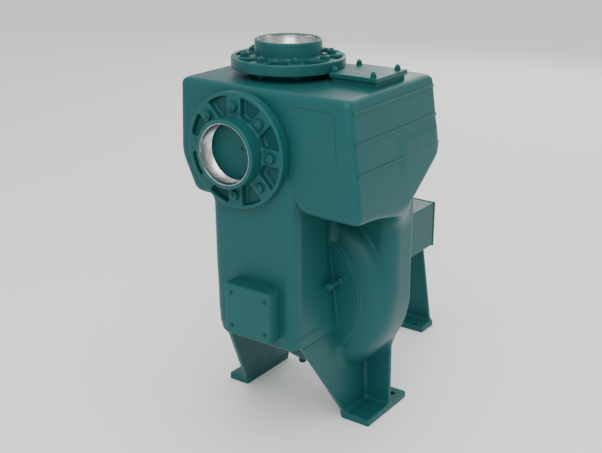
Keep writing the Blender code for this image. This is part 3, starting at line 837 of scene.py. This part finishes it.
# Fill port: boss, cover and its four bolts
coverShape = {"low": (117.5, 121), "high": (224, 236), "overhang": 4, "edge": 2.2,
              "boltMiddle": (165.5, 177.5), "boltSpan": (0.087, 0.089)}
(cx0, cy0), (cx1, cy1) = coverShape["low"], coverShape["high"]
inset = coverShape["overhang"]
boss = platePiece("fillPortBoss", (cx0 + inset, cy0 + inset, 750),
                  (cx1 - inset, cy1 - inset, 764.7), 2.0, enamel)
cover = platePiece("fillPortCover", (cx0, cy0, 764.8), (cx1, cy1, 774.5), coverShape["edge"], enamel)
coverBolts = growPiece("fillPortBolts", cornerFasteners, {
    "Size X": coverShape["boltSpan"][0], "Size Y": coverShape["boltSpan"][1],
    "Corner Radius": 0.0064, "Head Height": 0.0050, "Crown Height": 0.0022,
    "Washer Radius": 0.0070, "Washer Height": 0.0010, "Stud Radius": 0.0030, "Stud Height": 0.0024,
}, boltEnamel, place=(*coverShape["boltMiddle"], 774.4))
for piece, node in ((boss, "fill_port_boss"), (cover, "fill_port_cover")):
    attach(piece, "root")
    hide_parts(node)
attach(coverBolts, "root")

# Clean-out cover and its screws
cleanOut = platePiece("cleanOutCover", (-18, -43, 257), (91, 0, 366), 3.0, enamel)
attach(cleanOut, "root")
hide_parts("clean_out_cover")
screws = growPiece("cleanOutScrews", cornerFasteners, {
    "Size X": 0.083, "Size Y": 0.071, "Corner Radius": 0.0042, "Head Height": 0.0006,
    "Crown Height": 0.0006, "Washer Radius": 0.0052, "Washer Height": 0.0004,
}, darkEnamel, turn=toSuction, place=(39, -42.9, 311))
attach(screws, "root")


# Ribs on the tank's right side, as beads on a path over the casting
ribShape = {"heights": {"upper": 733, "middle": 675.5, "lower": 618}, "radius": 2.9, "proud": 2.6,
            "startY": 8, "endX": 232}


def beadPiece(name, points, radius, finish):
    # The tree takes a path, so the points first become a curve
    path = bpy.data.curves.new(name, "CURVE")
    path.dimensions = "3D"
    line = path.splines.new("POLY")
    placed = np.array(points) * mm
    line.points.add(len(placed) - 1)
    for spot, place in zip(line.points, placed):
        spot.co = (*place, 1.0)
    return growPiece(name, beadShape, {"Bead Radius": radius * mm}, finish, base=path)


def ribPath(height):
    s = ribShape
    spots = [(262.0, y, height) for y in np.arange(s["startY"], 318, 6.0)]
    spots += [(x, 330.0, height) for x in np.arange(262.0, s["endX"], -5.0)]
    points = np.array(spots)
    for _ in range(12):      # walk in to the tank's wall, level with the rib
        slope = fieldSlope(tankField, points)
        slope[:, 2] = 0
        points = points - (tankField(*points.T) / (slope * slope).sum(1))[:, None] * slope
    slope = fieldSlope(tankField, points)
    outward = slope / np.linalg.norm(slope, axis=1)[:, None]
    return points + outward * (s["proud"] - s["radius"])


print("ribs")
for label, height in ribShape["heights"].items():
    rib = beadPiece("tankRib." + label, ribPath(height), ribShape["radius"], enamel)
    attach(rib, "root")
    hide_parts("tank_rib_" + label)

# Thin dark line round the upper right of the tank's front panel: a bead in darker enamel, painted shade of
# the panel's shallow step
panelShadeLine = [(120 + 2 * n, 0.35, 731.5 - 0.02 * n) for n in range(43)]
panelShadeLine += [(208 + 2 * n / 4, 0.35, 730 - 2 * n / 4) for n in range(1, 5)]
panelShadeLine += [(210 + 6 * n / 30, 0.35, 727 - 90 * n / 30) for n in range(1, 31)]
line = beadPiece("tankPanelShadeLine", panelShadeLine, 0.75, darkEnamel)
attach(line, "root")

# Plugs on the casing
ventProfile = [(0, 103), (6.4, 103)] + curve2((6.4, 104.2), 1.2, -90, 0, 3) + [
    (7.6, 113), (6.4, 114.5), (5.6, 115.5), (5.6, 143), (8.0, 145), (8.0, 152), (0, 152)]
vent = turnedPiece("ventPlug", ventProfile, (130, 0, 339), 1, enamel, steps=32)
drainProfile = [(0, 98.5), (6.6, 98.5), (8, 99.9), (8, 112), (0, 112)]
drain = turnedPiece("drainPlug", drainProfile, (8, 190, 0), 2, darkEnamel, steps=32)
for piece, node in ((vent, "casing_vent_plug"), (drain, "casing_drain_plug")):
    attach(piece, "root")
    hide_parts(node)

# Drive end: end plate, bearing cap and shaft
endPlate = platePiece("bearingEndPlate", (-30.2, 709, 221.8), (50.2, 714.8, 339.2), 1.0, enamel)
capProfile = [(16.5, 714), (34, 714), (34, 721)] + curve2((32, 721.1), 2, 0, 90, 4)
capProfile += [(20, 723.1), (18.5, 721.6), (16.5, 721.6)]
cap = turnedPiece("bearingCap", capProfile, (10, 0, 280.5), 1, enamel, closed=True)
shaftProfile = [(0, 712), (14, 712), (14, 756.2), (12.2, 758), (3, 758), (1.5, 756), (0, 755.5)]
shaft = turnedPiece("driveShaft", shaftProfile, (10, 0, 280.5), 1, shaftSteel, steps=64)
for piece, node in ((endPlate, "bearing_end_plate"), (cap, "bearing_cap"), (shaft, "drive_shaft_end")):
    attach(piece, "root")
    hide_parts(node)
capScrews = growPiece("bearingCapScrews", ringFasteners, {
    "Count": 6, "Circle Radius": 0.0265, "Corner Radius": 0.0035, "Head Height": 0.0025,
    "Crown Height": 0.0004, "Washer Radius": 0.0040, "Washer Height": 0.0004,
}, boltEnamel, turn=toRear, place=(10, 723.0, 280.5))
plateScrews = growPiece("endPlateScrews", cornerFasteners, {
    "Size X": 0.060, "Size Y": 0.096, "Corner Radius": 0.0052, "Head Height": 0.0045,
    "Crown Height": 0.0006, "Washer Radius": 0.0060, "Washer Height": 0.0006,
}, boltEnamel, turn=toRear, place=(10, 714.7, 280.5))
for piece in (capScrews, plateScrews):
    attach(piece, "root")


# Stage: pale floor, soft light and the photograph's camera
stageLook = {
    "floor": (0.93, 0.93, 0.93),
    "world": 0.95,
    "cameraPlace": (1180.24, -1476.26, 1160.4),
    "cameraTurn": 35.2265,
    "cameraDip": 19.9826,
    "lens": 60.83,
}
floorMesh = bpy.data.meshes.new("floor")
floorMesh.from_pydata([(-30, -30, 0), (30, -30, 0), (30, 30, 0), (-30, 30, 0)], [], [(0, 1, 2, 3)])
floorFinish = Recipe("paleFloor")
floorTone = floorFinish.blend(floorFinish.noise(0.5), stageLook["floor"], (0.91, 0.91, 0.91))
floorFinish.join(floorTone, floorFinish.shader, "Base Color")
floorFinish.shader.inputs["Roughness"].default_value = 0.9
floor = newObject("floor", floorMesh, floorFinish.finish)

world = bpy.data.worlds.new("studio")
world.use_nodes = True
world.node_tree.nodes["Background"].inputs["Color"].default_value = (1, 1, 1, 1)
world.node_tree.nodes["Background"].inputs["Strength"].default_value = stageLook["world"]
bpy.context.scene.world = world

# name: (place, aimed at, width, height, watts)
lamps = {
    "keySoftbox": ((1.5, -2.8, 2.8), (0, 0, 0.5), 2.6, 2.6, 85),
    "topSoftbox": ((0.5, -0.5, 3.2), (0, 0, 0.4), 2.4, 2.4, 32),
    "backSoftbox": ((-0.9, 3.7, 2.0), (0, 0, 0.6), 2.4, 2.4, 45),
}
for name, (place, aim, width, height, power) in lamps.items():
    lamp = bpy.data.lights.new(name, "AREA")
    lamp.shape = "RECTANGLE"
    lamp.size, lamp.size_y, lamp.energy = width, height, power
    holder = bpy.data.objects.new(name, lamp)
    holder.location = place
    holder.rotation_euler = (Vector(aim) - Vector(place)).to_track_quat("-Z", "Y").to_euler()
    bpy.context.scene.collection.objects.link(holder)

camera = bpy.data.objects.new("photoCamera", bpy.data.cameras.new("photoCamera"))
camera.data.lens = stageLook["lens"]
camera.location = toScene([stageLook["cameraPlace"]])[0]
camera.rotation_euler = (math.radians(90 - stageLook["cameraDip"]), 0, math.radians(stageLook["cameraTurn"]))
bpy.context.scene.collection.objects.link(camera)
bpy.context.scene.camera = camera

bpy.context.view_layer.update()
